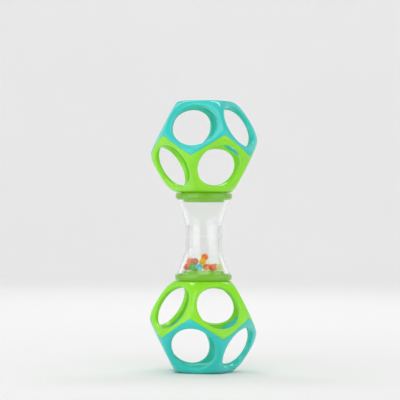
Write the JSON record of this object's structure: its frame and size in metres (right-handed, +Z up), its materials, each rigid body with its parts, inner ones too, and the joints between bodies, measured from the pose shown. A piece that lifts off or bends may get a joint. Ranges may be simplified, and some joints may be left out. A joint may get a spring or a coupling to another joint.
{
  "type": "baby rattle",
  "caption": "Dumbbell baby rattle: open-work turquoise and lime balls on both ends of a clear hourglass tube with loose coloured beads.",
  "frame": {"origin": "centre of the bottom flat of the lower ball, on the surface the rattle stands on", "axes": "+Z up along the rattle's long axis; -Y is the front; the two balls are mirror images about the tube's middle"},
  "size_m": [0.053, 0.053, 0.135],
  "materials": {
    "turquoise_shell": "soft flexible moulded plastic, satin",
    "lime_shell": "soft flexible moulded plastic, satin",
    "green_plug": "hard moulded plastic, satin",
    "clear_plastic": "clear polished moulded plastic",
    "bead_orange_red": "glossy solid plastic bead",
    "bead_orange": "glossy solid plastic bead",
    "bead_red_brown": "glossy solid plastic bead",
    "bead_yellow": "glossy solid plastic bead",
    "bead_green": "glossy solid plastic bead",
    "bead_blue": "glossy solid plastic bead",
    "bead_pale_yellow": "glossy solid plastic bead"
  },
  "bodies": {
    "rattle": {"upper_ball_outer_half": "turquoise_shell", "upper_ball_inner_half": "lime_shell", "lower_ball_inner_half": "lime_shell", "lower_ball_outer_half": "turquoise_shell", "clear_tube": "clear_plastic", "upper_end_plug": "green_plug", "lower_end_plug": "green_plug"},
    "bead_01": {"bead_01": "bead_orange_red"},
    "bead_02": {"bead_02": "bead_orange"},
    "bead_03": {"bead_03": "bead_red_brown"},
    "bead_04": {"bead_04": "bead_yellow"},
    "bead_05": {"bead_05": "bead_orange"},
    "bead_06": {"bead_06": "bead_green"},
    "bead_07": {"bead_07": "bead_blue"},
    "bead_08": {"bead_08": "bead_orange"},
    "bead_09": {"bead_09": "bead_orange_red"},
    "bead_10": {"bead_10": "bead_pale_yellow"},
    "bead_11": {"bead_11": "bead_green"},
    "bead_12": {"bead_12": "bead_yellow"},
    "bead_13": {"bead_13": "bead_green"},
    "bead_14": {"bead_14": "bead_orange_red"},
    "bead_15": {"bead_15": "bead_yellow"},
    "bead_16": {"bead_16": "bead_orange"}
  },
  "joints": [
    {"name": "bead_01_slide", "type": "slide", "parent": "rattle", "child": "bead_01", "axis": [0.351, 0.0234, 0.9361], "range_m": [0, 0.0297]},
    {"name": "bead_02_slide", "type": "slide", "parent": "rattle", "child": "bead_02", "axis": [0.351, 0.0234, 0.9361], "range_m": [0, 0.0297]},
    {"name": "bead_03_slide", "type": "slide", "parent": "rattle", "child": "bead_03", "axis": [0.1448, 0.2172, 0.9653], "range_m": [0, 0.0288]},
    {"name": "bead_04_slide", "type": "slide", "parent": "rattle", "child": "bead_04", "axis": [-0.1483, 0, 0.9889], "range_m": [0, 0.02599]},
    {"name": "bead_05_slide", "type": "slide", "parent": "rattle", "child": "bead_05", "axis": [-0.1483, 0, 0.9889], "range_m": [0, 0.02599]},
    {"name": "bead_06_slide", "type": "slide", "parent": "rattle", "child": "bead_06", "axis": [0.1448, 0.2172, 0.9653], "range_m": [0, 0.0288]},
    {"name": "bead_07_slide", "type": "slide", "parent": "rattle", "child": "bead_07", "axis": [-0.1379, 0.3678, 0.9196], "range_m": [0, 0.03338]},
    {"name": "bead_08_slide", "type": "slide", "parent": "rattle", "child": "bead_08", "axis": [-0.1483, 0, 0.9889], "range_m": [0, 0.02599]},
    {"name": "bead_09_slide", "type": "slide", "parent": "rattle", "child": "bead_09", "axis": [-0.023, 0.391, 0.9201], "range_m": [0, 0.03337]},
    {"name": "bead_10_slide", "type": "slide", "parent": "rattle", "child": "bead_10", "axis": [-0.4471, 0.0224, 0.8942], "range_m": [0, 0.03433]},
    {"name": "bead_11_slide", "type": "slide", "parent": "rattle", "child": "bead_11", "axis": [-0.2144, -0.2144, 0.9529], "range_m": [0, 0.03222]},
    {"name": "bead_12_slide", "type": "slide", "parent": "rattle", "child": "bead_12", "axis": [0.0236, -0.3303, 0.9436], "range_m": [0, 0.03254]},
    {"name": "bead_13_slide", "type": "slide", "parent": "rattle", "child": "bead_13", "axis": [0.3436, -0.2061, 0.9162], "range_m": [0, 0.03351]},
    {"name": "bead_14_slide", "type": "slide", "parent": "rattle", "child": "bead_14", "axis": [0.1448, 0.2172, 0.9653], "range_m": [0, 0.0288]},
    {"name": "bead_15_slide", "type": "slide", "parent": "rattle", "child": "bead_15", "axis": [0.351, 0.0234, 0.9361], "range_m": [0, 0.0297]},
    {"name": "bead_16_slide", "type": "slide", "parent": "rattle", "child": "bead_16", "axis": [-0.1483, 0, 0.9889], "range_m": [0, 0.02599]}
  ],
  "couplings": [
    {"joint": "bead_01_slide", "follows": "bead_02_slide", "ratio": 1},
    {"joint": "bead_04_slide", "follows": "bead_05_slide", "ratio": 1},
    {"joint": "bead_06_slide", "follows": "bead_03_slide", "ratio": 1},
    {"joint": "bead_08_slide", "follows": "bead_05_slide", "ratio": 1},
    {"joint": "bead_14_slide", "follows": "bead_03_slide", "ratio": 1},
    {"joint": "bead_15_slide", "follows": "bead_02_slide", "ratio": 1},
    {"joint": "bead_16_slide", "follows": "bead_05_slide", "ratio": 1}
  ]
}
